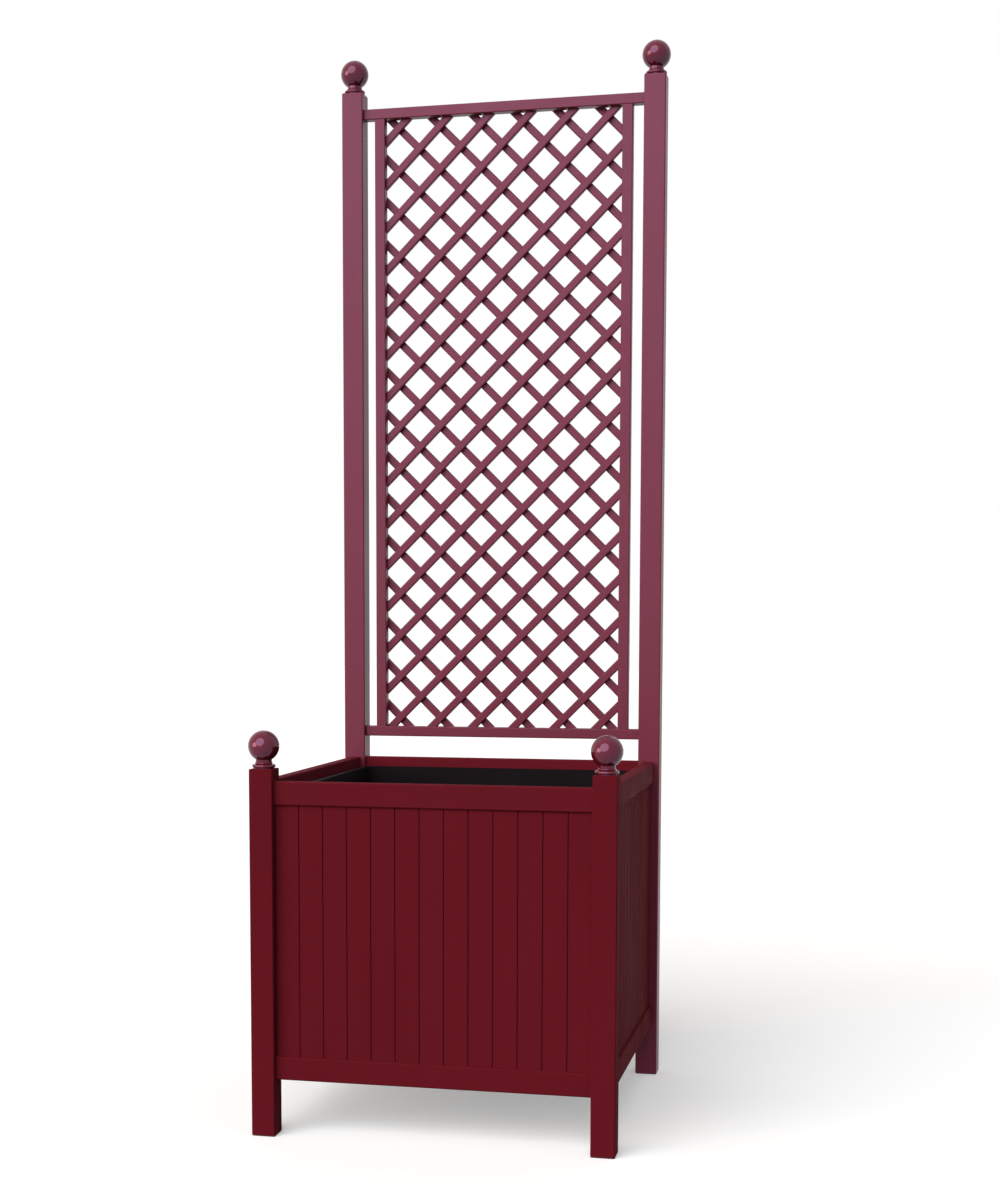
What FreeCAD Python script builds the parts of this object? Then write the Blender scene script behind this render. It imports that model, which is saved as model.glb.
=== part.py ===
import FreeCAD, Part
import math
import os
import re
import Sketcher

# Square garden planter with a tall trellis at its back, in powder-coated
# aluminium sections. Four square tube posts carry eight rails, which hold
# tongue-and-groove boards in their slots. Two angle ledgers and a row of
# channel slats make the floor, and a plastic liner stands on it and lifts out.
# The rear posts run on up and hold a trellis frame with two crossed layers of
# laths. A turned ball finial stands on each post.
#
# Frame: millimetres, +Z up, the front towards -Y, and the origin on the ground
# in the middle of the plan. Every size is a cell of the sheet "Sizes".

# Each driving size: its name, its value and what it measures.
SIZES = (
    ("planter_width", 700, "left to right over the posts"),
    ("planter_depth", 700, "front to back over the posts"),
    ("front_post_height", 705, "ground to the top of a front post"),
    ("post_width", 46, "square side of a post"),
    ("post_wall", 2.5, "wall of the post tube"),
    ("post_edge_radius", 2.5, "rounding of a post's long edges"),
    ("foot_thickness", 2, "flange of the foot under a post"),
    ("foot_inset", 1, "post face to the edge of the foot's flange"),
    ("cap_thickness", 4, "plate that closes the top of a post"),
    ("cap_edge_radius", 1.5, "rounding of the cap's top edges"),
    ("plug_length", 22, "reach of a cap or foot into the post"),
    ("plug_wall", 3, "wall of the plug of a cap or foot"),
    ("plug_clearance", 0.3, "plug to the post's bore, each side"),
    ("ball_diameter", 59.4, "ball of a finial"),
    ("ball_rise", 42.8, "cap to the centre of the ball"),
    ("neck_diameter", 30.5, "neck under the ball"),
    ("bead_diameter", 33.5, "small ring at the foot of the neck"),
    ("bead_thickness", 4, "height of that ring"),
    ("collar_diameter", 44.6, "large ring of the finial"),
    ("collar_thickness", 7.2, "height of the large ring"),
    ("sole_diameter", 38, "disc that the finial stands on"),
    ("sole_thickness", 1.6, "height of that disc"),
    ("stud_diameter", 8, "stud that holds the finial"),
    ("stud_length", 18, "reach of the stud below the cap's top"),
    ("stud_clearance", 0.25, "stud to its hole in the cap, on the radius"),
    ("rail_height", 45, "planter rail, top to bottom"),
    ("rail_depth", 24, "planter rail, front to back"),
    ("rail_wall", 2, "wall of a planter rail"),
    ("rail_edge_radius", 3, "rounding of a planter rail's long edges"),
    ("rail_recess", 11.5, "post face to the rail's face"),
    ("top_rail_drop", 23.5, "post top to the top rail's upper face"),
    ("bottom_rail_rise", 109, "ground to the bottom rail"),
    ("slot_depth", 10, "slot in a rail for the boards"),
    ("spigot_length", 40, "reach of a spigot into its tube"),
    ("spigot_clearance", 0.2, "spigot to its tube, each side"),
    ("front_board_count", 13, "boards across the front and the back"),
    ("side_board_count", 13, "boards across each side"),
    ("board_thickness", 12, "front to back of a board"),
    ("board_wall", 1.6, "wall of a board"),
    ("board_recess", 6, "rail face to the boards' face"),
    ("board_clearance", 0.3, "board to the side of its slot"),
    ("board_head_gap", 1, "board to the end of the upper slot"),
    ("board_play", 0.2, "board to the next board"),
    ("joint_line_width", 2, "dark line between two boards"),
    ("joint_line_depth", 3, "depth of that line"),
    ("tongue_length", 5, "tongue on a board's edge"),
    ("tongue_thickness", 3, "thickness of the tongue"),
    ("tongue_clearance", 0.2, "tongue to its groove, each side"),
    ("ledger_leg", 25, "leg of a floor ledger"),
    ("ledger_wall", 3, "thickness of a ledger's legs"),
    ("ledger_rise", 4, "bottom of the rail to the ledger"),
    ("floor_clearance", 1, "end play of a ledger or slat, each end"),
    ("slat_count", 6, "slats in the floor"),
    ("slat_width", 60, "floor slat, left to right"),
    ("slat_height", 12, "floor slat, top to bottom"),
    ("slat_wall", 2, "thickness of a slat's sheet"),
    ("liner_drop", 19.5, "top rail's upper face to the liner's rim"),
    ("liner_wall", 3, "wall and floor of the liner"),
    ("liner_draft", 12, "how much each side leans in from rim to base"),
    ("liner_corner_radius", 30, "upright corners of the liner's wall"),
    ("rim_clearance", 1, "liner's rim to the posts' inner faces"),
    ("rim_overhang", 9, "liner's wall to the outside of its rim"),
    ("rim_turn_down", 12, "height of the rim's turned-down edge"),
    ("drain_diameter", 12, "drain hole in the liner's floor"),
    ("drain_spacing", 180, "drain hole to drain hole, front to back"),
    ("trellis_gap", 46.5, "top rail to the trellis frame"),
    ("trellis_height", 1355, "trellis frame, top to bottom"),
    ("trellis_post_stand", 34, "trellis frame's top to the post's top"),
    ("trellis_recess", 11.5, "rear post's front face to the frame's"),
    ("trellis_depth", 23, "trellis frame, front to back"),
    ("trellis_wall", 1.8, "wall of the frame's tubes"),
    ("trellis_edge_radius", 2, "rounding of the frame's long edges"),
    ("trellis_rail_height", 22, "trellis rail, top to bottom"),
    ("stile_width", 22.5, "trellis stile, left to right"),
    ("stile_gap", 24.1, "post to stile"),
    ("stile_setback", 0.8, "trellis rail's face to the stile's"),
    ("lath_width", 16.5, "face of a lath"),
    ("lath_thickness", 11, "front to back of a lath"),
    ("lath_edge_radius", 2.5, "rounding of a lath's long edges"),
    ("lath_spacing", 91.1, "lath to lath along a rail"),
    ("lath_shift", 1.9, "middle of the laths, left of the middle of the frame"),
    ("lath_lap", 14, "rear laths' reach over the back of the frame"),
)

# Sizes that follow from the driving ones.
DERIVED = (
    ("bay_width", "planter_width - 2 * post_width"),
    ("bay_depth", "planter_depth - 2 * post_width"),
    ("post_bore", "post_width - 2 * post_wall"),
    ("plug_width", "post_bore - 2 * plug_clearance"),
    ("plug_bore", "plug_width - 2 * plug_wall"),
    ("top_rail_top", "front_post_height - top_rail_drop"),
    ("top_rail_base", "top_rail_top - rail_height"),
    ("board_foot", "bottom_rail_rise + rail_height - slot_depth"),
    ("board_length", "top_rail_base + slot_depth - board_head_gap - board_foot"),
    ("ledger_base", "bottom_rail_rise + ledger_rise"),
    ("slat_base", "ledger_base + ledger_wall"),
    ("liner_base", "slat_base + slat_height"),
    ("liner_height", "top_rail_top - liner_drop - liner_base"),
    ("rim_half_width", "bay_width / 2 - rim_clearance"),
    ("rim_half_depth", "bay_depth / 2 - rim_clearance"),
    ("trellis_base", "top_rail_top + trellis_gap"),
    ("trellis_top", "trellis_base + trellis_height"),
    ("rear_post_height", "trellis_top + trellis_post_stand"),
    ("trellis_face", "planter_depth / 2 - post_width + trellis_recess"),
    ("trellis_back", "trellis_face + trellis_depth"),
    ("window_width", "bay_width - 2 * stile_gap - 2 * stile_width"),
    ("window_height", "trellis_height - 2 * trellis_rail_height"),
    ("window_centre", "trellis_base + trellis_height / 2"),
    ("lath_pairs", "floor((window_width + window_height) / 2 / lath_spacing + 0.5)"),
)

# The four corners, as signs of X and Y, and the four sides, as the turn about Z
# from the front, the sizes that run along and across, and the number of boards.
CORNERS = {
    "front_left": (-1, -1),
    "front_right": (1, -1),
    "rear_left": (-1, 1),
    "rear_right": (1, 1),
}
SIDES = {
    "front": (0, "bay_width", "planter_depth", "front_board_count"),
    "right": (90, "bay_depth", "planter_width", "side_board_count"),
    "rear": (180, "bay_width", "planter_depth", "front_board_count"),
    "left": (270, "bay_depth", "planter_width", "side_board_count"),
}

os.makedirs("parts", exist_ok=True)
doc = FreeCAD.newDocument("planter_with_trellis")
sheet = doc.addObject("Spreadsheet::Sheet", "Sizes")
names = set()
nodes = []


# ---------------------------------------------------------------- the sheet


def fill_sheet():
    """Write the driving sizes and then the derived ones, one to a row."""
    rows = [(name, str(number), note) for name, number, note in SIZES]
    rows += [(name, "=" + formula, "follows from the sizes above") for name, formula in DERIVED]
    for row, (name, content, note) in enumerate(rows, start=1):
        sheet.set(f"A{row}", name)
        sheet.set(f"B{row}", content)
        sheet.set(f"C{row}", note)
        sheet.setAlias(f"B{row}", name)
        names.add(name)
    doc.recompute()


def in_sheet(text):
    """An expression with the sheet's name put before each size that it uses."""
    return re.sub(r"[a-z_]+", lambda word: "Sizes." * (word[0] in names) + word[0], text)


def value(text):
    """The number that an expression of the sizes comes to."""
    return float(sheet.evalExpression(text))


# --------------------------------------------------------- sketches and bodies


def new_body(name):
    """An empty body that becomes the node of this name."""
    body = doc.addObject("PartDesign::Body", name)
    body.Label = name
    nodes.append(body)
    return body


def origin_part(body, role):
    """One of the body's own origin planes or axes."""
    return next(part for part in body.Origin.OriginFeatures if part.Role == role)


def place(thing, x="0", y="0", z="0", axis=(0, 0, 1), angle=0):
    """Turn an object about an axis and tie its position to the sizes."""
    turn = FreeCAD.Rotation(FreeCAD.Vector(*axis), angle)
    thing.Placement = FreeCAD.Placement(FreeCAD.Vector(), turn)
    for letter, text in zip("xyz", (x, y, z)):
        thing.setExpression(f"Placement.Base.{letter}", in_sheet(text))


def rectangle(left, right, low, high):
    """Outline of a rectangle, from the expressions of its four sides."""
    return [(left, low), (right, low), (right, high), (left, high)]


def rounded_rectangle(left, right, low, high, radius):
    """Outline of a rectangle with quarter-round corners."""
    in_left = f"({left}) + {radius}"
    in_right = f"({right}) - ({radius})"
    in_low = f"({low}) + {radius}"
    in_high = f"({high}) - ({radius})"
    return [
        (in_left, low),
        (in_right, low, in_right, in_low),
        (right, in_low),
        (right, in_high, in_right, in_high),
        (in_right, high),
        (in_left, high, in_left, in_high),
        (left, in_high),
        (left, in_low, in_left, in_low),
    ]


def centred(width, depth, radius=None):
    """Outline of a rectangle about the origin, with or without round corners."""
    sides = (f"-({width}) / 2", f"({width}) / 2", f"-({depth}) / 2", f"({depth}) / 2")
    return rounded_rectangle(*sides, radius) if radius else rectangle(*sides)


def tie(sketch, spot, x, y):
    """Tie a point of a sketch, given as (edge, end), to two expressions."""
    for kind, text in (("DistanceX", x), ("DistanceY", y)):
        if text is not None:
            rule = Sketcher.Constraint(kind, -1, 1, *spot, value(text))
            number = sketch.addConstraint(rule)
            sketch.setExpression(f"Constraints[{number}]", in_sheet(text))


def arc_between(start, end, centre):
    """The arc of under half a turn from start to end, and which of its ends is the start."""
    ray_in, ray_out = start - centre, end - centre
    leftward = ray_in.cross(ray_out).z > 0
    if not leftward:
        ray_in, ray_out = ray_out, ray_in
    first = math.atan2(ray_in.y, ray_in.x)
    last = math.atan2(ray_out.y, ray_out.x)
    if last < first:
        last += 2 * math.pi
    circle = Part.Circle(centre, FreeCAD.Vector(0, 0, 1), ray_in.Length)
    return Part.ArcOfCircle(circle, first, last), 1 if leftward else 2


def draw_outline(sketch, outline):
    """Draw a closed outline. A point (x, y) starts a straight edge and a point
    (x, y, cx, cy) starts an arc about (cx, cy); each is a pair of expressions."""
    spots = [FreeCAD.Vector(value(point[0]), value(point[1]), 0) for point in outline]
    starts = []
    for index, point in enumerate(outline):
        here, there = spots[index], spots[(index + 1) % len(spots)]
        if len(point) == 2:
            edge, first_end = Part.LineSegment(here, there), 1
        else:
            centre = FreeCAD.Vector(value(point[2]), value(point[3]), 0)
            edge, first_end = arc_between(here, there, centre)
        starts.append((sketch.addGeometry(edge), first_end))
    for index, point in enumerate(outline):
        edge, first_end = starts[index]
        following = starts[(index + 1) % len(starts)]
        sketch.addConstraint(Sketcher.Constraint("Coincident", edge, 3 - first_end, *following))
        tie(sketch, (edge, first_end), point[0], point[1])
        if len(point) == 4:
            chord = spots[(index + 1) % len(spots)] - spots[index]
            steep = abs(chord.y) >= abs(chord.x)
            tie(sketch, (edge, 3), point[2] if steep else None, None if steep else point[3])


def draw_circle(sketch, x, y, diameter):
    """Draw a circle with its centre and diameter tied to the sizes."""
    centre = FreeCAD.Vector(value(x), value(y), 0)
    circle = Part.Circle(centre, FreeCAD.Vector(0, 0, 1), value(diameter) / 2)
    edge = sketch.addGeometry(circle)
    tie(sketch, (edge, 3), x, y)
    number = sketch.addConstraint(Sketcher.Constraint("Diameter", edge, value(diameter)))
    sketch.setExpression(f"Constraints[{number}]", in_sheet(diameter))


def add_sketch(body, name, plane, outlines=(), circles=(), offset=None):
    """A sketch on one of the body's origin planes, moved out along its normal by offset."""
    sketch = body.newObject("Sketcher::SketchObject", f"{body.Name}_{name}")
    sketch.AttachmentSupport = [(origin_part(body, plane), "")]
    sketch.MapMode = "FlatFace"
    if offset:
        sketch.setExpression("AttachmentOffset.Base.z", in_sheet(offset))
    for outline in outlines:
        draw_outline(sketch, outline)
    for circle in circles:
        draw_circle(sketch, *circle)
    return sketch


def add_pad(body, name, sketch, length, both_ways=False, backwards=False):
    """Extrude a sketch along its normal, against it, or half each way."""
    pad = body.newObject("PartDesign::Pad", f"{body.Name}_{name}")
    pad.Profile = sketch
    pad.setExpression("Length", in_sheet(length))
    pad.Reversed = backwards
    if both_ways:
        pad.SideType = "Symmetric"
    return pad


def add_pocket(body, name, sketch, depth):
    """Cut a sketch's outline along its normal, and see that it takes material."""
    doc.recompute()
    before = body.Shape.Volume
    pocket = body.newObject("PartDesign::Pocket", f"{body.Name}_{name}")
    pocket.Profile = sketch
    pocket.setExpression("Length", in_sheet(depth))
    pocket.Reversed = True
    doc.recompute()
    if body.Shape.Volume >= before:
        raise RuntimeError(f"{pocket.Name} cuts nothing")
    return pocket


def add_row(body, name, feature, axis, spacing, count):
    """Repeat a feature along one of the body's axes."""
    row = body.newObject("PartDesign::LinearPattern", f"{body.Name}_{name}")
    row.Originals = [feature]
    row.Direction = (origin_part(body, axis), [""])
    row.Mode = "Spacing"
    row.setExpression("Offset", in_sheet(spacing))
    row.setExpression("Occurrences", in_sheet(count))
    body.Tip = row
    return row


def add_mirror_image(body, name, feature, plane):
    """Repeat a feature on the other side of one of the body's origin planes."""
    mirror = body.newObject("PartDesign::Mirrored", f"{body.Name}_{name}")
    mirror.Originals = [feature]
    mirror.MirrorPlane = (origin_part(body, plane), [""])
    body.Tip = mirror
    return mirror


# ------------------------------------------------------------------- posts


def make_post(corner, x, y, height):
    """A square tube with rounded edges, between its foot and its cap."""
    body = new_body(f"post_{corner}")
    outside = centred("post_width", "post_width", "post_edge_radius")
    bore = centred("post_bore", "post_bore")
    section = add_sketch(body, "section", "XY_Plane", [outside, bore])
    add_pad(body, "tube", section, f"{height} - foot_thickness - cap_thickness")
    place(body, x, y, "foot_thickness")


def make_foot(corner, x, y):
    """A plastic foot: a flange that the post stands on and a hollow plug inside it."""
    body = new_body(f"foot_{corner}")
    flange_width = "post_width - 2 * foot_inset"
    flange = add_sketch(body, "flange_outline", "XY_Plane",
                        [centred(flange_width, flange_width, "post_edge_radius")])
    add_pad(body, "flange", flange, "foot_thickness")
    walls = [centred("plug_width", "plug_width"), centred("plug_bore", "plug_bore")]
    plug = add_sketch(body, "plug_outline", "XY_Plane", walls, offset="foot_thickness")
    add_pad(body, "plug", plug, "plug_length")
    place(body, x, y)


def make_cap(corner, x, y, height):
    """A plate flush with the post's faces, with a plug inside the tube and a hole
    for the finial's stud. Its top edges are rounded."""
    body = new_body(f"cap_{corner}")
    hole = ("0", "0", "stud_diameter + 2 * stud_clearance")
    outline = add_sketch(body, "plate_outline", "XY_Plane",
                         [centred("post_width", "post_width", "post_edge_radius")], [hole])
    add_pad(body, "plate", outline, "cap_thickness")
    walls = [centred("plug_width", "plug_width"), centred("plug_bore", "plug_bore")]
    plug = add_sketch(body, "plug_outline", "XY_Plane", walls)
    closed = add_pad(body, "plug", plug, "plug_length", backwards=True)
    doc.recompute()
    top_edges = outer_top_edges(body.Shape, value("stud_diameter"))
    rounding = body.newObject("PartDesign::Fillet", f"{body.Name}_rounding")
    rounding.Base = (closed, top_edges)
    rounding.setExpression("Radius", in_sheet("min(cap_edge_radius; post_edge_radius * 0.8)"))
    place(body, x, y, f"{height} - cap_thickness")


def outer_top_edges(shape, hole_size):
    """Names of the edges round the top face, without those of a hole of about that size."""
    top = shape.BoundBox.ZMax
    found = []
    for number, edge in enumerate(shape.Edges, start=1):
        box = edge.BoundBox
        at_top = box.ZMin > top - 0.01
        round_the_hole = max(abs(box.XMax), abs(box.XMin), abs(box.YMax), abs(box.YMin)) < hole_size
        if at_top and not round_the_hole:
            found.append(f"Edge{number}")
    return found


def make_finial(corner, x, y, height):
    """A turned ball on a neck, a small ring and a large ring, with the stud that
    passes through the cap. The two rings are half-round in section."""
    body = new_body(f"finial_{corner}")
    stud, neck, ball = "stud_diameter / 2", "neck_diameter / 2", "ball_diameter / 2"
    collar_core = "(collar_diameter - collar_thickness) / 2"
    collar_middle = "sole_thickness + collar_thickness / 2"
    collar_top = "sole_thickness + collar_thickness"
    bead_core = "(bead_diameter - bead_thickness) / 2"
    bead_middle = f"{collar_top} + bead_thickness / 2"
    bead_top = f"{collar_top} + bead_thickness"
    neck_top = "ball_rise - sqrt(pow(ball_diameter / 2; 2) - pow(neck_diameter / 2; 2))"
    outline = [
        ("0", "-stud_length"),
        (stud, "-stud_length"),
        (stud, "0"),
        ("sole_diameter / 2", "0"),
        ("sole_diameter / 2", "sole_thickness"),
        (collar_core, "sole_thickness", collar_core, collar_middle),
        ("collar_diameter / 2", collar_middle, collar_core, collar_middle),
        (collar_core, collar_top),
        (bead_core, collar_top, bead_core, bead_middle),
        ("bead_diameter / 2", bead_middle, bead_core, bead_middle),
        (bead_core, bead_top),
        (neck, bead_top),
        (neck, neck_top, "0", "ball_rise"),
        (ball, "ball_rise", "0", "ball_rise"),
        ("0", f"ball_rise + {ball}"),
    ]
    profile = add_sketch(body, "profile", "XZ_Plane", [outline])
    turned = body.newObject("PartDesign::Revolution", f"{body.Name}_turning")
    turned.Profile = profile
    turned.ReferenceAxis = (profile, ["V_Axis"])
    turned.Angle = 360
    place(body, x, y, height)


def make_corners():
    """The posts with their feet, caps and finials."""
    for corner, (side, end) in CORNERS.items():
        x = f"{side} * (planter_width - post_width) / 2"
        y = f"{end} * (planter_depth - post_width) / 2"
        height = "front_post_height" if end < 0 else "rear_post_height"
        make_post(corner, x, y, height)
        make_foot(corner, x, y)
        make_cap(corner, x, y, height)
        make_finial(corner, x, y, height)


# -------------------------------------------------------- rails and boards


def rail_outlines(face, flipped):
    """Section of a planter rail whose face lies at Y = face: a rounded box with a
    chamber and, in its lower edge, the slot for the boards. Flipped, the slot is up."""
    def level(text):
        return f"rail_height - ({text})" if flipped else text

    back = f"{face} + rail_depth"
    slot_front = f"{face} + board_recess - board_clearance"
    slot_back = f"{face} + board_recess + board_thickness + board_clearance"
    low, high = level("0"), level("rail_height")
    in_low, in_high = level("rail_edge_radius"), level("rail_height - rail_edge_radius")
    in_face, in_back = f"{face} + rail_edge_radius", f"{back} - rail_edge_radius"
    outside = [
        (in_face, low),
        (slot_front, low),
        (slot_front, level("slot_depth")),
        (slot_back, level("slot_depth")),
        (slot_back, low),
        (in_back, low, in_back, in_low),
        (back, in_low),
        (back, in_high, in_back, in_high),
        (in_back, high),
        (in_face, high, in_face, in_high),
        (face, in_high),
        (face, in_low, in_face, in_low),
    ]
    return outside, rail_chamber(face, level, "rail_wall")


def rail_chamber(face, level, inset):
    """Outline of a rail's chamber, or of a piece inside it, inset from the outside."""
    low = f"slot_depth + {inset}"
    high = f"rail_height - ({inset})"
    return rectangle(f"{face} + {inset}", f"{face} + rail_depth - ({inset})", level(low), level(high))


def make_spigots(name, run, outline, turn, z):
    """Two blocks, one in each end of a tube that runs along X, against the posts."""
    body = new_body(name)
    section = add_sketch(body, "section", "YZ_Plane", [outline],
                         offset=f"{run} / 2 - spigot_length")
    block = add_pad(body, "block", section, "spigot_length")
    add_mirror_image(body, "other_end", block, "YZ_Plane")
    place(body, z=z, angle=turn)


def make_rail(side, level_name, base, flipped):
    """A rail between two posts, and the spigots that hold its ends."""
    turn, run, across, _ = SIDES[side]
    face = f"rail_recess - {across} / 2"
    body = new_body(f"{level_name}_rail_{side}")
    section = add_sketch(body, "section", "YZ_Plane", rail_outlines(face, flipped))
    add_pad(body, "extrusion", section, run, both_ways=True)
    place(body, z=base, angle=turn)

    def level(text):
        return f"rail_height - ({text})" if flipped else text

    inside = rail_chamber(face, level, "rail_wall + spigot_clearance")
    make_spigots(f"{level_name}_rail_{side}_spigots", run, inside, turn, base)


def make_boards(side):
    """A row of hollow boards. Each has a tongue on its right edge and a groove in
    its left, with a dark line where two faces meet; the last has its tongue cut off."""
    turn, run, across, count = SIDES[side]
    pitch = f"{run} / {count}"
    left = f"-{run} / 2 + board_play / 2"
    right = f"{left} + {pitch} - board_play"
    front = f"rail_recess + board_recess - {across} / 2"
    back = f"{front} + board_thickness"
    step = f"{front} + joint_line_depth"
    middle = f"{front} + (joint_line_depth + board_thickness) / 2"
    tongue_low, tongue_high = f"{middle} - tongue_thickness / 2", f"{middle} + tongue_thickness / 2"
    groove_low = f"{tongue_low} - tongue_clearance"
    groove_high = f"{tongue_high} + tongue_clearance"
    tongue_tip = f"{right} + tongue_length"
    groove_end = f"{left} + tongue_length + tongue_clearance"
    face_left = f"{left} + (joint_line_width - board_play) / 2"
    face_right = f"{right} - (joint_line_width - board_play) / 2"
    outside = [
        (face_left, front),
        (face_right, front),
        (face_right, step),
        (right, step),
        (right, tongue_low),
        (tongue_tip, tongue_low),
        (tongue_tip, tongue_high),
        (right, tongue_high),
        (right, back),
        (left, back),
        (left, groove_high),
        (groove_end, groove_high),
        (groove_end, groove_low),
        (left, groove_low),
        (left, step),
        (face_left, step),
    ]
    chamber = rectangle(f"{groove_end} + board_wall", f"{face_right} - board_wall",
                        f"{front} + board_wall", f"{back} - board_wall")
    body = new_body(f"boards_{side}")
    section = add_sketch(body, "section", "XY_Plane", [outside, chamber])
    board = add_pad(body, "board", section, "board_length")
    add_row(body, "row", board, "X_Axis", pitch, count)
    edge = f"({run} - board_play) / 2"
    offcut = rectangle(edge, f"{edge} + 2 * tongue_length", front, back)
    last = add_sketch(body, "offcut", "XY_Plane", [offcut])
    add_pocket(body, "rip", last, "board_length")
    place(body, z="board_foot", angle=turn)


def make_walls():
    """The rails and boards of the four sides."""
    for side in SIDES:
        make_rail(side, "top", "top_rail_base", flipped=False)
        make_rail(side, "bottom", "bottom_rail_rise", flipped=True)
        make_boards(side)


# ---------------------------------------------------------- floor and liner


def make_ledger(side):
    """An angle on the inner face of a bottom rail, which carries the slats' ends."""
    turn, run, across, _ = SIDES[side]
    wall = f"rail_recess + rail_depth - {across} / 2"
    outline = [
        (wall, "0"),
        (f"{wall} + ledger_leg", "0"),
        (f"{wall} + ledger_leg", "ledger_wall"),
        (f"{wall} + ledger_wall", "ledger_wall"),
        (f"{wall} + ledger_wall", "ledger_leg"),
        (wall, "ledger_leg"),
    ]
    body = new_body(f"floor_ledger_{side}")
    section = add_sketch(body, "section", "YZ_Plane", [outline])
    add_pad(body, "angle", section, f"{run} - 2 * floor_clearance", both_ways=True)
    place(body, z="ledger_base", angle=turn)


def make_slat(number):
    """A channel, open downwards, that spans from ledger to ledger."""
    half, inner = "slat_width / 2", "(slat_width / 2 - slat_wall)"
    outline = [
        (f"-{half}", "0"),
        (f"-{inner}", "0"),
        (f"-{inner}", "slat_height - slat_wall"),
        (inner, "slat_height - slat_wall"),
        (inner, "0"),
        (half, "0"),
        (half, "slat_height"),
        (f"-{half}", "slat_height"),
    ]
    body = new_body(f"floor_slat_{number}")
    section = add_sketch(body, "section", "XZ_Plane", [outline])
    span = "planter_depth - 2 * (rail_recess + rail_depth + ledger_wall + floor_clearance)"
    add_pad(body, "channel", section, span, both_ways=True)
    place(body, x=f"({number} - 0.5 - slat_count / 2) * bay_width / slat_count", z="slat_base")


def make_liner():
    """A tub with leaning walls, a turned-down rim and drain holes over the gaps
    between the slats. It stands on the slats and lifts out."""
    body = new_body("liner")
    top_width, top_depth = "rim_half_width - rim_overhang", "rim_half_depth - rim_overhang"

    def tub_outline(inset, radius):
        width, depth = f"{top_width} - ({inset})", f"{top_depth} - ({inset})"
        return rounded_rectangle(f"-({width})", width, f"-({depth})", depth, radius)

    def tub_section(name, inset, radius, height):
        return add_sketch(body, name, "XY_Plane", [tub_outline(inset, radius)], offset=height)

    outside = body.newObject("PartDesign::AdditiveLoft", "liner_outside")
    outside.Profile = tub_section("base", "liner_draft", "liner_corner_radius", "0")
    outside.Sections = [tub_section("mouth", "0", "liner_corner_radius", "liner_height")]
    outside.Ruled = True

    rim = rounded_rectangle("-rim_half_width", "rim_half_width", "-rim_half_depth", "rim_half_depth",
                            "liner_corner_radius + rim_overhang")
    rim_outline = add_sketch(body, "rim_outline", "XY_Plane", [rim], offset="liner_height")
    add_pad(body, "rim", rim_outline, "rim_turn_down", backwards=True)

    reach = "(rim_overhang - liner_wall)"
    hollow = [
        tub_outline(f"-{reach}", f"liner_corner_radius + {reach}"),
        tub_outline("0", "liner_corner_radius"),
    ]
    under_rim = add_sketch(body, "under_rim", "XY_Plane", hollow,
                           offset="liner_height - rim_turn_down")
    add_pocket(body, "rim_hollow", under_rim, "rim_turn_down - liner_wall")

    inside = body.newObject("PartDesign::SubtractiveLoft", "liner_inside")
    inner_radius = "liner_corner_radius - liner_wall"
    inside.Profile = tub_section("inner_base", "liner_draft + liner_wall", inner_radius,
                                 "liner_wall")
    inside.Sections = [tub_section("inner_mouth", "liner_wall", inner_radius, "liner_height")]
    inside.Ruled = True

    holes = [(f"{across} * 2 * bay_width / slat_count", f"{along} * drain_spacing", "drain_diameter")
             for across in (-1, 0, 1) for along in (-1, 0, 1)]
    drains = add_sketch(body, "drain_outlines", "XY_Plane", circles=holes)
    add_pocket(body, "drains", drains, "liner_wall")
    place(body, z="liner_base")


def make_floor():
    """The ledgers, the slats on them and the liner on the slats."""
    for side in ("front", "rear"):
        make_ledger(side)
    for number in range(1, int(value("slat_count")) + 1):
        make_slat(number)
    make_liner()


# ----------------------------------------------------------------- trellis


def trellis_rail_outline(inset):
    """Section of a trellis rail, or of what lies that far inside it."""
    return (f"trellis_face + {inset}", f"trellis_back - ({inset})",
            inset, f"trellis_rail_height - ({inset})")


def make_trellis_rail(name, base):
    """A tube between the rear posts, with a spigot in each end."""
    body = new_body(f"trellis_{name}_rail")
    outside = rounded_rectangle(*trellis_rail_outline("0"), "trellis_edge_radius")
    bore = rectangle(*trellis_rail_outline("trellis_wall"))
    section = add_sketch(body, "section", "YZ_Plane", [outside, bore])
    add_pad(body, "tube", section, "bay_width", both_ways=True)
    place(body, z=base)
    inside = rectangle(*trellis_rail_outline("trellis_wall + spigot_clearance"))
    make_spigots(f"trellis_{name}_rail_spigots", "bay_width", inside, 0, base)


def stile_outline(inset):
    """Section of a stile about its own middle, or of what lies that far inside it."""
    return (f"{inset} - stile_width / 2", f"stile_width / 2 - ({inset})",
            f"trellis_face + stile_setback + {inset}", f"trellis_back - ({inset})")


def make_stile(side, sign):
    """An upright tube between the trellis rails, with a spigot in each end."""
    x = f"{sign} * (window_width + stile_width) / 2"
    base = "trellis_base + trellis_rail_height"
    body = new_body(f"trellis_stile_{side}")
    outside = rounded_rectangle(*stile_outline("0"), "trellis_edge_radius")
    bore = rectangle(*stile_outline("trellis_wall"))
    section = add_sketch(body, "section", "XY_Plane", [outside, bore])
    add_pad(body, "tube", section, "window_height")
    place(body, x=x, z=base)

    spigots = new_body(f"trellis_stile_{side}_spigots")
    inside = rectangle(*stile_outline("trellis_wall + spigot_clearance"))
    section = add_sketch(spigots, "section", "XY_Plane", [inside])
    block = add_pad(spigots, "block", section, "spigot_length")
    add_row(spigots, "ends", block, "Z_Axis", "window_height - spigot_length", "2")
    place(spigots, x=x, z=base)


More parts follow.
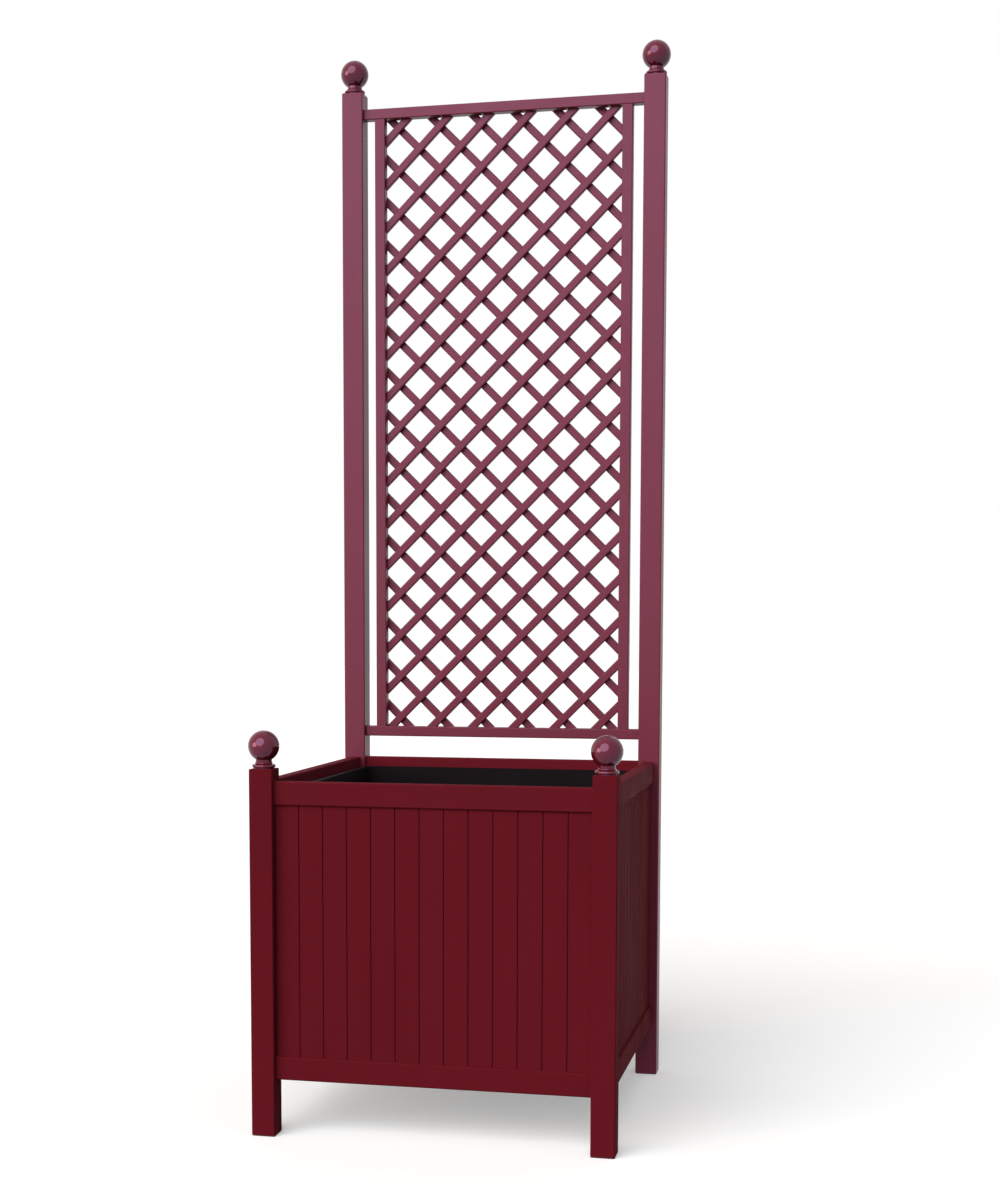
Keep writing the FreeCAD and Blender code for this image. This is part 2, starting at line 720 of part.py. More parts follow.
def make_laths(name, tilt, front, lap):
    """One layer of laths: a row of rounded bars at 45 degrees, cut to the frame's
    window made larger by the lap. The rows straddle a point left of its middle."""
    stock = doc.addObject("PartDesign::Body", f"{name}_stock")
    step = "lath_spacing / sqrt(2)"
    first = f"(0.5 - lath_pairs) * {step}"
    bar = rounded_rectangle(front, f"{front} + lath_thickness",
                            f"{first} - lath_width / 2", f"{first} + lath_width / 2",
                            "lath_edge_radius")
    section = add_sketch(stock, "section", "YZ_Plane", [bar])
    lath = add_pad(stock, "lath", section, "window_width + window_height", both_ways=True)
    add_row(stock, "row", lath, "Z_Axis", step, "2 * lath_pairs")
    place(stock, x="-lath_shift", z="window_centre", axis=(0, 1, 0), angle=tilt)

    window = doc.addObject("Part::Box", f"{name}_window")
    window.setExpression("Length", in_sheet(f"window_width + 2 * {lap}"))
    window.setExpression("Width", in_sheet("2 * lath_thickness"))
    window.setExpression("Height", in_sheet(f"window_height + 2 * {lap}"))
    place(window, x=f"-window_width / 2 - {lap}", y=f"{front} - lath_thickness / 2",
          z=f"window_centre - window_height / 2 - {lap}")

    laths = doc.addObject("Part::Common", name)
    laths.Label = name
    laths.Base = stock
    laths.Tool = window
    nodes.append(laths)


def make_trellis():
    """The frame between the rear posts. The front laths lie inside it, flush with its
    back, and the rear laths cross them on its back."""
    make_trellis_rail("bottom", "trellis_base")
    make_trellis_rail("top", "trellis_top - trellis_rail_height")
    make_stile("left", -1)
    make_stile("right", 1)
    make_laths("front_laths", -45, "trellis_back - lath_thickness", "0")
    make_laths("rear_laths", 45, "trellis_back", "lath_lap")


# ----------------------------------------------------------- check and write


def check_document():
    """Stop if any object failed to build or any node's shape is empty or broken."""
    for thing in doc.Objects:
        if "Invalid" in thing.State or "Error" in thing.State:
            raise RuntimeError(f"{thing.Name} did not build: {thing.State}")
    for node in nodes:
        if node.Shape.isNull() or not node.Shape.isValid() or not node.Shape.Solids:
            raise RuntimeError(f"{node.Label} has no sound shape")


fill_sheet()
make_corners()
make_walls()
make_floor()
make_trellis()
doc.recompute()
check_document()
for node in nodes:
    node.Shape.exportStep(f"parts/{node.Label}.step")
print(f"{len(nodes)} nodes, {sum(len(node.Shape.Solids) for node in nodes)} solids")
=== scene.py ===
import math

import bpy
import numpy as np
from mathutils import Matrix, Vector


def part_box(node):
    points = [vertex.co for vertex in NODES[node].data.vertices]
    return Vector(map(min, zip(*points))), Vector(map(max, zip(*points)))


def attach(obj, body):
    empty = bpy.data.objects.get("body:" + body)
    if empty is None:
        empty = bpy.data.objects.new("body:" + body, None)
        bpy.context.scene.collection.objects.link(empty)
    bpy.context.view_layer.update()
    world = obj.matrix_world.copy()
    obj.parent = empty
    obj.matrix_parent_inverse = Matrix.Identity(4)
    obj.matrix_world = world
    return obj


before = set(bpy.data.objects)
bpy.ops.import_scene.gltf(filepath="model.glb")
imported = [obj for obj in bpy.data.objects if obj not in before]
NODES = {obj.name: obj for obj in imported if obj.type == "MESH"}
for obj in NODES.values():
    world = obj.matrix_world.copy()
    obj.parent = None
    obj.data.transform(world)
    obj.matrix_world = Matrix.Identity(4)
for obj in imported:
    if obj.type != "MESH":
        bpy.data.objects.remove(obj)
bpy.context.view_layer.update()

bl_info = {
    "name": "Planter with Trellis",
    "version": (1, 0, 0),
    "blender": (4, 5, 0),
    "location": "3D View > Sidebar > Planter",
    "description": "Finishes, fixings and studio for a planter with a tall trellis",
    "category": "Object",
}

MM = 0.001
CORNERS = ("front_left", "front_right", "rear_left", "rear_right")
SIDES = ("front", "rear", "left", "right")
WHITE = (1.0, 1.0, 1.0, 1.0)


# ------------------------------------------------------------------ colours


def linear_colour(hex_text):
    """An sRGB hex colour as linear red, green, blue and an alpha of one."""
    parts = np.array([int(hex_text[i:i + 2], 16) for i in (1, 3, 5)]) / 255
    curve = np.where(parts <= 0.04045, parts / 12.92, ((parts + 0.055) / 1.055) ** 2.4)
    return (*curve.tolist(), 1.0)


def colour_property(name, hex_text, description):
    """A colour that a user may change, from its sRGB hex value."""
    return bpy.props.FloatVectorProperty(
        name=name, description=description, subtype="COLOR", size=4, min=0, max=1,
        default=linear_colour(hex_text))


def length_property(name, metres, description):
    """A length that a user may change, in metres."""
    return bpy.props.FloatProperty(
        name=name, description=description, default=metres, min=0, unit="LENGTH")


def angle_property(name, degrees, description):
    """An angle that a user may change, from its degrees."""
    return bpy.props.FloatProperty(
        name=name, description=description, subtype="ANGLE",
        default=math.radians(degrees), min=0, max=math.pi)


def level_property(name, level, description, highest=1.0):
    """A plain number from nothing to its highest value."""
    return bpy.props.FloatProperty(
        name=name, description=description, default=level, min=0, max=highest)


class PlanterFinish(bpy.types.PropertyGroup):
    """Colours and surface levels of the planter's materials."""
    coat: colour_property(
        "Coat", "#5D131C", "Wine-red powder coat")
    coat_deep: colour_property(
        "Coat, deep", "#551119", "The coat where it lies thicker")
    coat_sheen: colour_property(
        "Coat sheen", "#FFCEFF", "Tint of the light that the coat mirrors")
    liner: colour_property(
        "Liner", "#0B0609", "Black moulded plastic of the liner")
    foot: colour_property(
        "Foot", "#17130F", "Black plastic of the feet")
    aluminium: colour_property(
        "Aluminium", "#C3C5C8", "Bare aluminium of the floor and the spigots")
    frame_roughness: level_property(
        "Frame roughness", 0.4, "Roughness of the coat on rear posts and trellis")
    frame_shine: level_property(
        "Frame shine", 0.42, "Specular level of the coat on rear posts and trellis")
    rim_roughness: level_property(
        "Rim roughness", 0.8, "Roughness of the matt coat on the top rails")
    rim_shine: level_property(
        "Rim shine", 0.08, "Specular level of the matt coat on the top rails")
    tub_roughness: level_property(
        "Tub roughness", 0.85, "Roughness of the matt coat on the rest of the tub")
    tub_shine: level_property(
        "Tub shine", 0.06, "Specular level of the matt coat on the rest of the tub")
    ball_roughness: level_property(
        "Ball roughness", 0.10, "Roughness of the glossy coat on the finials")
    ball_shine: level_property(
        "Ball shine", 0.5, "Specular level of the glossy coat on the finials")


class PlanterFixings(bpy.types.PropertyGroup):
    """Sizes of the small fixings, and of the lattice that they hold together."""
    lath_spacing: length_property(
        "Lath spacing", 0.0911, "From lath to lath along a rail")
    lath_shift: length_property(
        "Lath shift", 0.0019, "How far the laths' middle lies left of the window's")
    rivet_width: length_property(
        "Rivet width", 0.006, "Across the head of a lath rivet")
    rivet_height: length_property(
        "Rivet height", 0.0011, "How far a rivet's head stands up")
    screw_width: length_property(
        "Screw width", 0.0075, "Across the head of a screw")
    screw_height: length_property(
        "Screw height", 0.0016, "How far a screw's head stands up")
    ledger_wall: length_property(
        "Ledger wall", 0.003, "Thickness of a ledger's upright leg")


class PlanterStudio(bpy.types.PropertyGroup):
    """Light and floor of the studio."""
    front: level_property(
        "Front light", 2.9, "Strength of the wide soft light in front", highest=10)
    front_size: angle_property(
        "Front light size", 60, "Angle of sky that the front light fills")
    side: level_property(
        "Side light", 1.6, "Strength of the soft light low at the left", highest=10)
    side_size: angle_property(
        "Side light size", 32, "Angle of sky that the side light fills")
    side_tint: colour_property(
        "Side light tint", "#FFE6CC", "Colour of the side light")
    fill: level_property(
        "Fill light", 0.38, "Level of the light from all round", highest=10)
    floor: colour_property(
        "Floor", "#F6F6F6", "The pale floor")
    floor_lift: level_property(
        "Floor lift", 0.24, "Level that brings the pale floor up to white")
    floor_bounce: colour_property(
        "Floor bounce", "#383636", "The floor as it lights the planter")


# ----------------------------------------------------------------- materials


def add_node(tree, kind, sockets=None, **settings):
    """Add a node, set its properties, and fill or link sockets by name or number."""
    made = tree.nodes.new(kind)
    for name, setting in settings.items():
        setattr(made, name, setting)
    for name, content in (sockets or {}).items():
        if isinstance(content, bpy.types.NodeSocket):
            tree.links.new(content, made.inputs[name])
        else:
            made.inputs[name].default_value = content
    return made


def empty_material(name):
    """A material with an empty node tree, and the tree."""
    material = bpy.data.materials.new(name)
    material.use_nodes = True
    tree = material.node_tree
    tree.nodes.clear()
    return material, tree


def new_material(name):
    """A material, its tree and its Principled shader, which is wired to the output."""
    material, tree = empty_material(name)
    shader = add_node(tree, "ShaderNodeBsdfPrincipled")
    add_node(tree, "ShaderNodeOutputMaterial", {"Surface": shader.outputs[0]})
    return material, tree, shader


def noise(tree, grain_mm, detail=2.0, stretch=(1, 1, 1)):
    """Noise on Object coordinates whose lumps are about grain_mm across. A stretch
    under one on an axis makes them longer along it."""
    place = add_node(tree, "ShaderNodeTexCoord")
    scaled = add_node(tree, "ShaderNodeMapping",
                      {"Vector": place.outputs["Object"], "Scale": stretch})
    return add_node(tree, "ShaderNodeTexNoise", {
        "Vector": scaled.outputs[0], "Scale": 1 / (grain_mm * MM), "Detail": detail})


def bump_from(tree, height, depth_mm):
    """A normal bent by a height of depth_mm from black to white."""
    bump = add_node(tree, "ShaderNodeBump",
                    {"Height": height, "Distance": depth_mm * MM, "Strength": 1.0})
    return bump.outputs["Normal"]


def blend_colours(tree, factor, first, second):
    """The mix of two colours by a factor."""
    mix = add_node(tree, "ShaderNodeMix", {0: factor, 6: first, 7: second},
                   data_type="RGBA")
    return mix.outputs[2]


COAT_IOR = 1.5
# The coat's tone wanders over clouds of this size, and its roughness between these
# shares of its own over patches of this one. Both run longer up a post or a board.
COAT_CLOUD_MM, COAT_PATCH_MM, ROUGHNESS_SHARES = 140, 60, (0.85, 1.2)
POST_STRETCH, BOARD_STRETCH = (1, 1, 0.25), (1, 1, 0.2)
# Baked powder flows to a skin whose waves are 2 to 4 mm long. They are drawn this long
# on posts and tub, on the trellis and on the finials, as coarse as each needs to show.
TUB_PEEL_MM, TRELLIS_PEEL_MM, BALL_PEEL_MM = 7, 6, 14
PEEL_DEPTH_MM = 0.05


def powder_coat(name, finish, roughness, shine, peel_mm, stretch=(1, 1, 1)):
    """Polyester powder coat on aluminium, sprayed and baked. It gives the eye a deep
    even red, matt to glossy as the piece needs, with the faint waviness of powder."""
    material, tree, shader = new_material(name)
    cloud = noise(tree, COAT_CLOUD_MM, detail=3.0, stretch=stretch)
    tone = blend_colours(tree, cloud.outputs["Fac"], finish.coat_deep, finish.coat)
    tree.links.new(tone, shader.inputs["Base Color"])
    peel = noise(tree, peel_mm, detail=1.0)
    tree.links.new(bump_from(tree, peel.outputs["Fac"], PEEL_DEPTH_MM),
                   shader.inputs["Normal"])
    patch = noise(tree, COAT_PATCH_MM, detail=4.0, stretch=stretch)
    least, most = (roughness * share for share in ROUGHNESS_SHARES)
    spread = add_node(tree, "ShaderNodeMapRange", {
        "Value": patch.outputs["Fac"], "To Min": least, "To Max": most})
    tree.links.new(spread.outputs[0], shader.inputs["Roughness"])
    shader.inputs["IOR"].default_value = COAT_IOR
    shader.inputs["Specular IOR Level"].default_value = shine
    shader.inputs["Specular Tint"].default_value = finish.coat_sheen
    return material


PLASTIC_IOR = 1.49
# Where the plastic flowed together it is paler, in clouds of this size and by this
# much: its colour times the first number, and the second on top.
FLOW_CLOUD_MM, FLOW_GAIN, FLOW_LIFT = 90, 1.8, 0.002


def moulded_plastic(name, colour, roughness, shine, grain_mm, depth_mm):
    """Black plastic from a sanded mould. It gives the eye a fine even grain that breaks
    up its dull shine, with faint flow clouds."""
    material, tree, shader = new_material(name)
    cloud = noise(tree, FLOW_CLOUD_MM, detail=3.0)
    paler = tuple(min(1, part * FLOW_GAIN + FLOW_LIFT) for part in colour[:3]) + (1.0,)
    tone = blend_colours(tree, cloud.outputs["Fac"], tuple(colour), paler)
    tree.links.new(tone, shader.inputs["Base Color"])
    grain = noise(tree, grain_mm)
    tree.links.new(bump_from(tree, grain.outputs["Fac"], depth_mm),
                   shader.inputs["Normal"])
    shader.inputs["Roughness"].default_value = roughness
    shader.inputs["IOR"].default_value = PLASTIC_IOR
    shader.inputs["Specular IOR Level"].default_value = shine
    return material


ALUMINIUM_ROUGHNESS = 0.38
# Lines that the die leaves: how wide and deep they are drawn, their tone as a share of
# the metal's, and the stretch that makes them 50 times as long as they are wide.
DIE_LINE_MM, DIE_LINE_DEPTH_MM, DIE_LINE_TONE, DIE_LINE_STRETCH = 1.5, 0.02, 0.72, 0.02
ALONG_X, ALONG_Y = (DIE_LINE_STRETCH, 1, 1), (1, DIE_LINE_STRETCH, 1)


def extruded_aluminium(name, colour, stretch):
    """Bare 6063 aluminium as it leaves the die. It gives the eye a soft grey with fine
    lines along the section, which stretch makes long on one axis."""
    material, tree, shader = new_material(name)
    lines = noise(tree, DIE_LINE_MM, stretch=stretch)
    darker = tuple(part * DIE_LINE_TONE for part in colour[:3]) + (1.0,)
    tone = blend_colours(tree, lines.outputs["Fac"], darker, tuple(colour))
    tree.links.new(tone, shader.inputs["Base Color"])
    tree.links.new(bump_from(tree, lines.outputs["Fac"], DIE_LINE_DEPTH_MM),
                   shader.inputs["Normal"])
    shader.inputs["Metallic"].default_value = 1.0
    shader.inputs["Roughness"].default_value = ALUMINIUM_ROUGHNESS
    return material


STEEL_DULL, STEEL_BRIGHT = "#8E8F90", "#B9BABB"
STEEL_ROUGHNESS, TUMBLED_MM = 0.28, 2.0


def stainless_screw(name):
    """Cold-headed stainless steel, tumbled bright. It gives the eye a small clean
    glint, with duller spots where the tumbling left them."""
    material, tree, shader = new_material(name)
    wear = noise(tree, TUMBLED_MM)
    tone = blend_colours(tree, wear.outputs["Fac"], linear_colour(STEEL_DULL),
                         linear_colour(STEEL_BRIGHT))
    tree.links.new(tone, shader.inputs["Base Color"])
    shader.inputs["Metallic"].default_value = 1.0
    shader.inputs["Roughness"].default_value = STEEL_ROUGHNESS
    return material


def dress(material, *names):
    """Give CAD nodes a material in place of the one they came with."""
    for name in names:
        mesh = NODES[name].data
        mesh.materials.clear()
        mesh.materials.append(material)


# ---------------------------------------------------------------- new pieces

# A head's dome: how far up a quarter of an ellipse its rings stand, and the corners of
# each ring.
DOME_ANGLES = np.radians([0, 35, 65, 85])
HEAD_CORNERS = 12
# The dimple in its top, as a share of the head's width for rivets and screws. Its lip
# and its floor are shares of that, and its floor lies at a share of the head's height.
RIVET_DIMPLE, SCREW_DIMPLE = 0.3, 0.45
DIMPLE_LIP, DIMPLE_FLOOR, DIMPLE_RISE = 0.9, 0.6, 0.45
# More laths than the window holds either side of its middle; those outside drop out.
LATHS = 40
# Screws along a ledger, and their height as a share of its upright leg.
LEDGER_SCREWS, LEDGER_SCREW_RISE = 5, 0.78


def domed_heads(name, centres, outward, width, height, dimple):
    """Small round heads on an upright face, all in one mesh.

    Each head is a profile turned about its centre: radius r and rise z for a
    quarter of an ellipse from the rim up, ending in a dimple of that share of the
    width. Points are centre + r cos(a) u + r sin(a) v + z outward."""
    outward = np.array(outward, float)
    across = np.cross(outward, (0.0, 0.0, 1.0))
    upward = np.cross(outward, across)
    dome = np.cos(DOME_ANGLES) * (1 - dimple) + dimple * DIMPLE_LIP
    radius = np.append(dome, dimple * DIMPLE_FLOOR) * width / 2
    rise = np.append(np.sin(DOME_ANGLES), DIMPLE_RISE) * height
    turn = np.linspace(0, 2 * math.pi, HEAD_CORNERS, endpoint=False)
    ring = np.cos(turn)[:, None] * across + np.sin(turn)[:, None] * upward
    heads = (centres[:, None, None, :] + radius[:, None, None] * ring
             + rise[:, None, None] * outward)
    # Each quad joins a corner and the next one to the same two of the ring above.
    rings, corners = len(radius), HEAD_CORNERS
    row, corner = np.meshgrid(np.arange(rings - 1), np.arange(corners), indexing="ij")
    after = (corner + 1) % corners
    low, high = row * corners, (row + 1) * corners
    quads = np.stack([low + corner, low + after, high + after, high + corner], -1)
    caps = np.array([np.arange(corners) + (rings - 1) * corners,
                     np.arange(corners)[::-1]])
    first = (np.arange(len(centres)) * rings * corners)[:, None, None]
    all_quads = (first + quads.reshape(-1, 4)).reshape(-1, 4).tolist()
    all_caps = (first + caps).reshape(-1, corners).tolist()
    mesh = bpy.data.meshes.new(name)
    mesh.from_pydata(heads.reshape(-1, 3).tolist(), [], all_quads + all_caps)
    mesh.shade_smooth()
    made = bpy.data.objects.new(name, mesh)
    bpy.context.scene.collection.objects.link(made)
    return made


def window():
    """The trellis window's middle and half sizes, from the front laths."""
    low, high = (np.array(corner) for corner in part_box("front_laths"))
    return (low + high) / 2, (high - low) / 2


# ------------------------------------------------------------------ operators


class PLANTER_OT_coat_frame(bpy.types.Operator):
    """Powder-coat the posts, their caps and all the rails"""
    bl_idname = "planter.coat_frame"
    bl_label = "Coat Frame"

    def execute(self, context):
        finish = context.scene.planter_finish
        satin = finish.frame_roughness, finish.frame_shine
        rim = finish.rim_roughness, finish.rim_shine
        matt = finish.tub_roughness, finish.tub_shine
        for side, surface in (("rear", satin), ("front", matt)):
            coat = powder_coat(f"powder coat on {side} posts", finish, *surface,
                               TUB_PEEL_MM, POST_STRETCH)
            dress(coat, *(f"{piece}_{side}_{hand}" for piece in ("post", "cap")
                          for hand in ("left", "right")))
        for level, surface in (("top", rim), ("bottom", matt)):
            coat = powder_coat(f"powder coat on {level} rails", finish, *surface,
                               TUB_PEEL_MM)
            dress(coat, *(f"{level}_rail_{side}" for side in SIDES))
        return {"FINISHED"}


class PLANTER_OT_coat_boards(bpy.types.Operator):
    """Powder-coat the tongue-and-groove boards"""
    bl_idname = "planter.coat_boards"
    bl_label = "Coat Boards"

    def execute(self, context):
        finish = context.scene.planter_finish
        coat = powder_coat("powder coat on boards", finish, finish.tub_roughness,
                           finish.tub_shine, TUB_PEEL_MM, BOARD_STRETCH)
        dress(coat, *(f"boards_{side}" for side in SIDES))
        return {"FINISHED"}


class PLANTER_OT_coat_trellis(bpy.types.Operator):
    """Powder-coat the trellis frame and both layers of laths"""
    bl_idname = "planter.coat_trellis"
    bl_label = "Coat Trellis"

    def execute(self, context):
        finish = context.scene.planter_finish
        coat = powder_coat("powder coat on trellis", finish, finish.frame_roughness,
                           finish.frame_shine, TRELLIS_PEEL_MM)
        dress(coat, "trellis_bottom_rail", "trellis_top_rail", "trellis_stile_left",
              "trellis_stile_right", "front_laths", "rear_laths")
        return {"FINISHED"}


class PLANTER_OT_coat_finials(bpy.types.Operator):
    """Coat the turned finials, which are polished before they are coated"""
    bl_idname = "planter.coat_finials"
    bl_label = "Coat Finials"

    def execute(self, context):
        finish = context.scene.planter_finish
        coat = powder_coat("polished powder coat on finials", finish,
                           finish.ball_roughness, finish.ball_shine, BALL_PEEL_MM)
        dress(coat, *(f"finial_{corner}" for corner in CORNERS))
        return {"FINISHED"}


class PLANTER_OT_finish_floor(bpy.types.Operator):
    """Give the slats, ledgers and spigots their bare extruded aluminium"""
    bl_idname = "planter.finish_floor"
    bl_label = "Finish Floor"

    def execute(self, context):
        colour = context.scene.planter_finish.aluminium
        slats = extruded_aluminium("extruded aluminium slats", colour, ALONG_Y)
        dress(slats, *(name for name in NODES if name.startswith("floor_slat")))
        ledgers = extruded_aluminium("extruded aluminium ledgers", colour, ALONG_X)
        dress(ledgers, "floor_ledger_front", "floor_ledger_rear",
              *(name for name in NODES if name.endswith("spigots")))
        return {"FINISHED"}


class PLANTER_OT_finish_liner(bpy.types.Operator):
    """Give the liner and the feet their moulded plastic"""
    bl_idname = "planter.finish_liner"
    bl_label = "Finish Liner and Feet"

    def execute(self, context):
        finish = context.scene.planter_finish
        liner = moulded_plastic("moulded polypropylene liner", finish.liner,
                                roughness=0.6, shine=0.05, grain_mm=1.6, depth_mm=0.03)
        dress(liner, "liner")
        feet = moulded_plastic("moulded polyethylene feet", finish.foot,
                               roughness=0.55, shine=0.4, grain_mm=1.2, depth_mm=0.04)
        dress(feet, *(f"foot_{corner}" for corner in CORNERS))
        return {"FINISHED"}


class PLANTER_OT_rivet_laths(bpy.types.Operator):
    """Add the rivets that pin the laths together, whose heads show on the back"""
    bl_idname = "planter.rivet_laths"
    bl_label = "Rivet Laths"

    def execute(self, context):
        finish, sizes = context.scene.planter_finish, context.scene.planter_fixings
        middle, half = window()
        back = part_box("rear_laths")[1][1]
        # With x and z from the laths' own middle, front laths lie on
        # x - z = (i + 1/2) spacing and rear ones on x + z = (j + 1/2) spacing, so they
        # cross at half the sum and half the difference of the two. That middle lies
        # left of the window's by the shift.
        lines = (np.arange(-LATHS, LATHS) + 0.5) * sizes.lath_spacing
        rising, falling = np.meshgrid(lines, lines)
        x, z = (rising + falling) / 2 - sizes.lath_shift, (falling - rising) / 2
        inside = (abs(x) < half[0]) & (abs(z) < half[2])
        centres = np.stack([x[inside] + middle[0], np.full(inside.sum(), back),
                            z[inside] + middle[2]], -1)
        heads = domed_heads("lath_rivets", centres, (0, 1, 0), sizes.rivet_width,
                            sizes.rivet_height, RIVET_DIMPLE)
        heads.data.materials.append(powder_coat(
            "powder coat on rivets", finish, finish.frame_roughness,
            finish.frame_shine, TRELLIS_PEEL_MM))
        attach(heads, "planter")
        return {"FINISHED"}


class PLANTER_OT_screw_laths(bpy.types.Operator):
    """Add the screws that hold the rear laths' ends to the back of the frame"""
    bl_idname = "planter.screw_laths"
    bl_label = "Screw Laths to Frame"

    def execute(self, context):
        sizes = context.scene.planter_fixings
        middle, half = window()
        low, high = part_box("rear_laths")
        # The screws stand half way from the window's edge to the rear laths' ends.
        reach = half + (np.array(high) - np.array(low) - 2 * half) / 4
        # From the window's middle, rear laths lie on x + z = (j + 1/2) spacing - shift.
        lines = (np.arange(-LATHS, LATHS) + 0.5) * sizes.lath_spacing - sizes.lath_shift
        side = np.repeat([-1, 1], len(lines))
        both = np.tile(lines, 2)
        on_stiles = np.stack([side * reach[0], both - side * reach[0]], -1)
        on_rails = np.stack([both - side * reach[2], side * reach[2]], -1)
        on_stiles = on_stiles[abs(on_stiles[:, 1]) < half[2]]
        on_rails = on_rails[abs(on_rails[:, 0]) < half[0]]
        spots = np.vstack([on_stiles, on_rails])
        centres = np.stack([spots[:, 0] + middle[0], np.full(len(spots), high[1]),
                            spots[:, 1] + middle[2]], -1)
        heads = domed_heads("lath_screws", centres, (0, 1, 0), sizes.screw_width,
                            sizes.screw_height, SCREW_DIMPLE)
        heads.data.materials.append(stainless_screw("stainless lath screws"))
        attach(heads, "planter")
        return {"FINISHED"}


class PLANTER_OT_screw_ledgers(bpy.types.Operator):
    """Add the screws that hold the floor's ledgers to the bottom rails"""
    bl_idname = "planter.screw_ledgers"
    bl_label = "Screw Ledgers"

    def execute(self, context):
        sizes = context.scene.planter_fixings
        steel = stainless_screw("stainless ledger screws")
        for side, facing in (("front", 1), ("rear", -1)):
            low, high = (np.array(corner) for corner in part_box(f"floor_ledger_{side}"))
            leg = sizes.ledger_wall
            wall = low[1] + leg if facing > 0 else high[1] - leg
            x = np.linspace(low[0], high[0], LEDGER_SCREWS + 2)[1:-1]
            height = low[2] + (high[2] - low[2]) * LEDGER_SCREW_RISE
            centres = np.stack([x, np.full(len(x), wall), np.full(len(x), height)], -1)
            heads = domed_heads(f"ledger_screws_{side}", centres, (0, facing, 0),
                                sizes.screw_width, sizes.screw_height, SCREW_DIMPLE)
            heads.data.materials.append(steel)
            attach(heads, "planter")
        return {"FINISHED"}


# -------------------------------------------------------------------- studio

# The camera stands in front of the planter and a little to its right, a metre above
# the floor, and looks slightly down and to the left.
CAMERA_PLACE = (0.8024, -3.6808, 0.9904)
CAMERA_PITCH, CAMERA_YAW = math.radians(84.98), math.radians(13.06)
CAMERA_SENSOR, CAMERA_LENS, CAMERA_SHIFT = 36, 56.54, (0.0466, 0.1575)
# The ways that the lights travel. The wide one comes from in front and a little to the
# left, about a third of the way up the sky, and the warm one from low at the left.
FRONT_TRAVEL, SIDE_TRAVEL = (0.22, 0.819, -0.53), (0.82, 0.57, -0.12)
# So far out that the floor's edge is lost against the white background.
FLOOR_REACH = 30.0


def set_camera(scene):
    """Stand the camera where the photograph was taken from."""
    camera = bpy.data.objects.new("camera", bpy.data.cameras.new("camera"))
    scene.collection.objects.link(camera)
    camera.location = CAMERA_PLACE
    camera.rotation_euler = (CAMERA_PITCH, 0, CAMERA_YAW)
    camera.data.sensor_width = CAMERA_SENSOR
    camera.data.lens = CAMERA_LENS
    camera.data.shift_x, camera.data.shift_y = CAMERA_SHIFT
    scene.camera = camera


def add_soft_light(scene, name, travel, strength, size, tint=WHITE):
    """A lamp whose light travels one way and fills an angle of the sky evenly, so that
    floor and planter are lit alike wherever they stand."""
    lamp = bpy.data.objects.new(name, bpy.data.lights.new(name, "SUN"))
    scene.collection.objects.link(lamp)
    lamp.rotation_euler = Vector(travel).to_track_quat("-Z", "Y").to_euler()
    lamp.data.energy = strength
    lamp.data.angle = size
    lamp.data.color = tint[:3]


def sees_background(tree):
    """One for camera, glossy and transmission rays, which all see the same background,
    and nothing for the rays that light the planter."""
    path = add_node(tree, "ShaderNodeLightPath")
    mirrored = add_node(tree, "ShaderNodeMath", {
        0: path.outputs["Is Glossy Ray"], 1: path.outputs["Is Transmission Ray"]},
        operation="MAXIMUM")
    seen = add_node(tree, "ShaderNodeMath", {
        0: path.outputs["Is Camera Ray"], 1: mirrored.outputs[0]}, operation="MAXIMUM")
    return seen.outputs[0]


def set_world(scene, studio):
    """An even fill from all round, and a white background."""
    world = bpy.data.worlds.new("studio")
    world.use_nodes = True
    scene.world = world
    tree = world.node_tree
    tree.nodes.clear()
    fill = add_node(tree, "ShaderNodeBackground",
                    {"Color": WHITE, "Strength": studio.fill})
    background = add_node(tree, "ShaderNodeBackground",
                          {"Color": WHITE, "Strength": 1.0})
    whole = add_node(tree, "ShaderNodeMixShader", {
        0: sees_background(tree), 1: fill.outputs[0], 2: background.outputs[0]})
    add_node(tree, "ShaderNodeOutputWorld", {"Surface": whole.outputs[0]})


def floor_material(studio):
    """Matt painted studio floor. It gives the eye a plain pale ground that meets the
    white background without an edge, keeps the planter's soft shadow, and throws only
    a plain dim bounce back."""
    material, tree = empty_material("matt painted studio floor")
    paint = add_node(tree, "ShaderNodeBsdfDiffuse", {"Color": studio.floor})
    lift = add_node(tree, "ShaderNodeEmission", {"Strength": studio.floor_lift})
    shown = add_node(tree, "ShaderNodeAddShader",
                     {0: paint.outputs[0], 1: lift.outputs[0]})
    bounce = add_node(tree, "ShaderNodeBsdfDiffuse", {"Color": studio.floor_bounce})
    whole = add_node(tree, "ShaderNodeMixShader", {
        0: sees_background(tree), 1: bounce.outputs[0], 2: shown.outputs[0]})
    add_node(tree, "ShaderNodeOutputMaterial", {"Surface": whole.outputs[0]})
    return material


def set_floor(scene, studio):
    """A flat floor all round the planter."""
    reach = FLOOR_REACH
    corners = [(-reach, -reach, 0), (reach, -reach, 0),
               (reach, reach, 0), (-reach, reach, 0)]
    mesh = bpy.data.meshes.new("floor")
    mesh.from_pydata(corners, [], [(0, 1, 2, 3)])
    mesh.materials.append(floor_material(studio))
    floor = bpy.data.objects.new("floor", mesh)
    scene.collection.objects.link(floor)


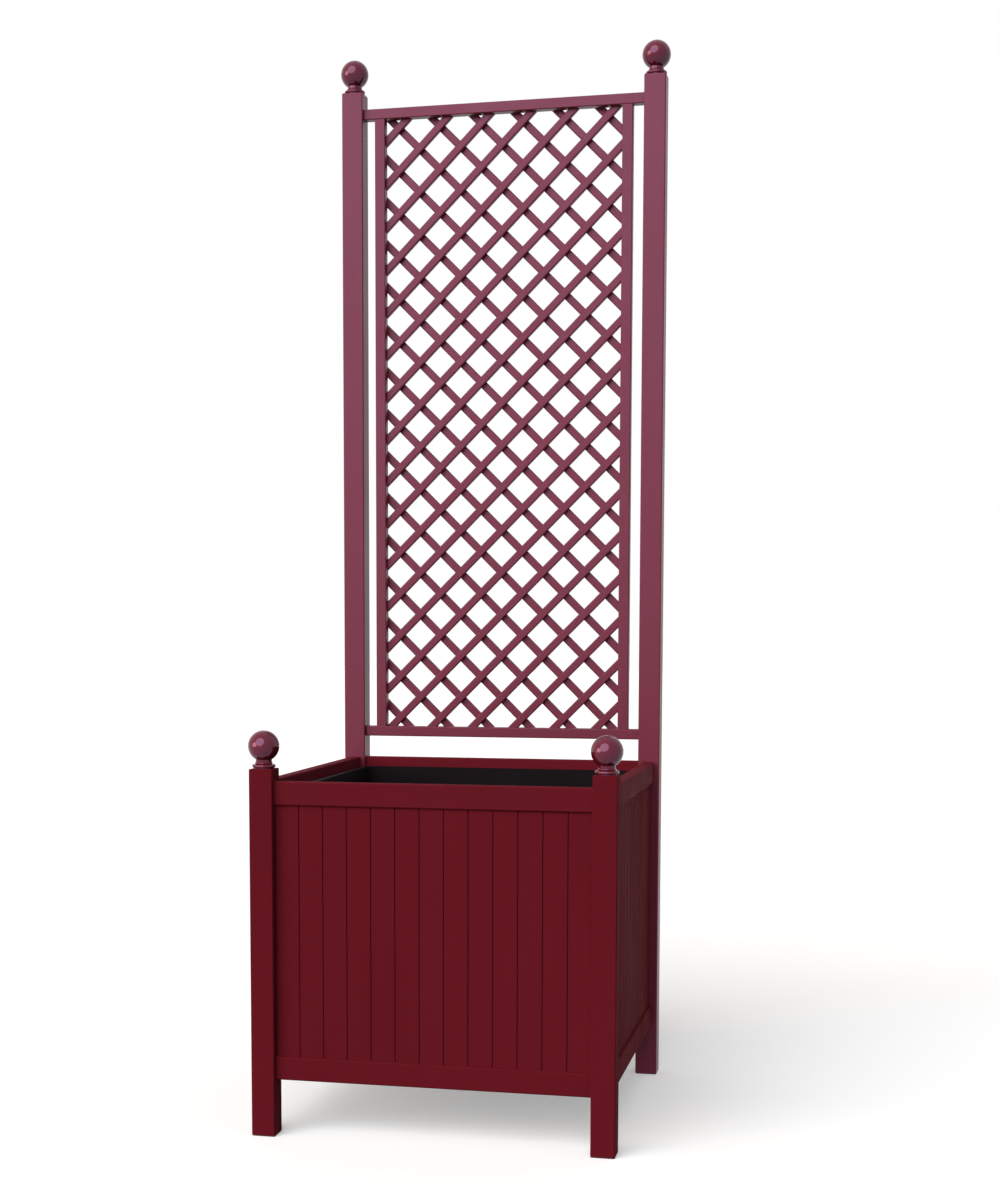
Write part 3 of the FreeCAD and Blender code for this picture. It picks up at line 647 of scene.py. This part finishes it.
class PLANTER_OT_set_studio(bpy.types.Operator):
    """Set up the camera, the lights and the floor"""
    bl_idname = "planter.set_studio"
    bl_label = "Set Studio"

    def execute(self, context):
        scene = context.scene
        studio = scene.planter_studio
        scene.view_settings.view_transform = "Standard"
        set_camera(scene)
        set_world(scene, studio)
        set_floor(scene, studio)
        add_soft_light(scene, "front_light", FRONT_TRAVEL, studio.front,
                       studio.front_size)
        add_soft_light(scene, "side_light", SIDE_TRAVEL, studio.side,
                       studio.side_size, studio.side_tint)
        return {"FINISHED"}


STEPS = (
    PLANTER_OT_coat_frame,
    PLANTER_OT_coat_boards,
    PLANTER_OT_coat_trellis,
    PLANTER_OT_coat_finials,
    PLANTER_OT_finish_floor,
    PLANTER_OT_finish_liner,
    PLANTER_OT_rivet_laths,
    PLANTER_OT_screw_laths,
    PLANTER_OT_screw_ledgers,
    PLANTER_OT_set_studio,
)
GROUPS = {
    "planter_finish": PlanterFinish,
    "planter_fixings": PlanterFixings,
    "planter_studio": PlanterStudio,
}


class PLANTER_PT_steps(bpy.types.Panel):
    """The steps that dress the planter, in order"""
    bl_idname = "PLANTER_PT_steps"
    bl_label = "Planter"
    bl_space_type = "VIEW_3D"
    bl_region_type = "UI"
    bl_category = "Planter"

    def draw(self, context):
        for step in STEPS:
            self.layout.operator(step.bl_idname)


def register():
    """Register the properties, the operators and the panel."""
    for name, group in GROUPS.items():
        bpy.utils.register_class(group)
        setattr(bpy.types.Scene, name, bpy.props.PointerProperty(type=group))
    for made in (*STEPS, PLANTER_PT_steps):
        bpy.utils.register_class(made)


def unregister():
    """Take everything that register added out again."""
    for made in (PLANTER_PT_steps, *reversed(STEPS)):
        bpy.utils.unregister_class(made)
    for name, group in GROUPS.items():
        delattr(bpy.types.Scene, name)
        bpy.utils.unregister_class(group)


def main():
    """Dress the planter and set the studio."""
    register()
    for step in STEPS:
        group, name = step.bl_idname.split(".")
        getattr(getattr(bpy.ops, group), name)()


if __name__ == "__main__":
    main()
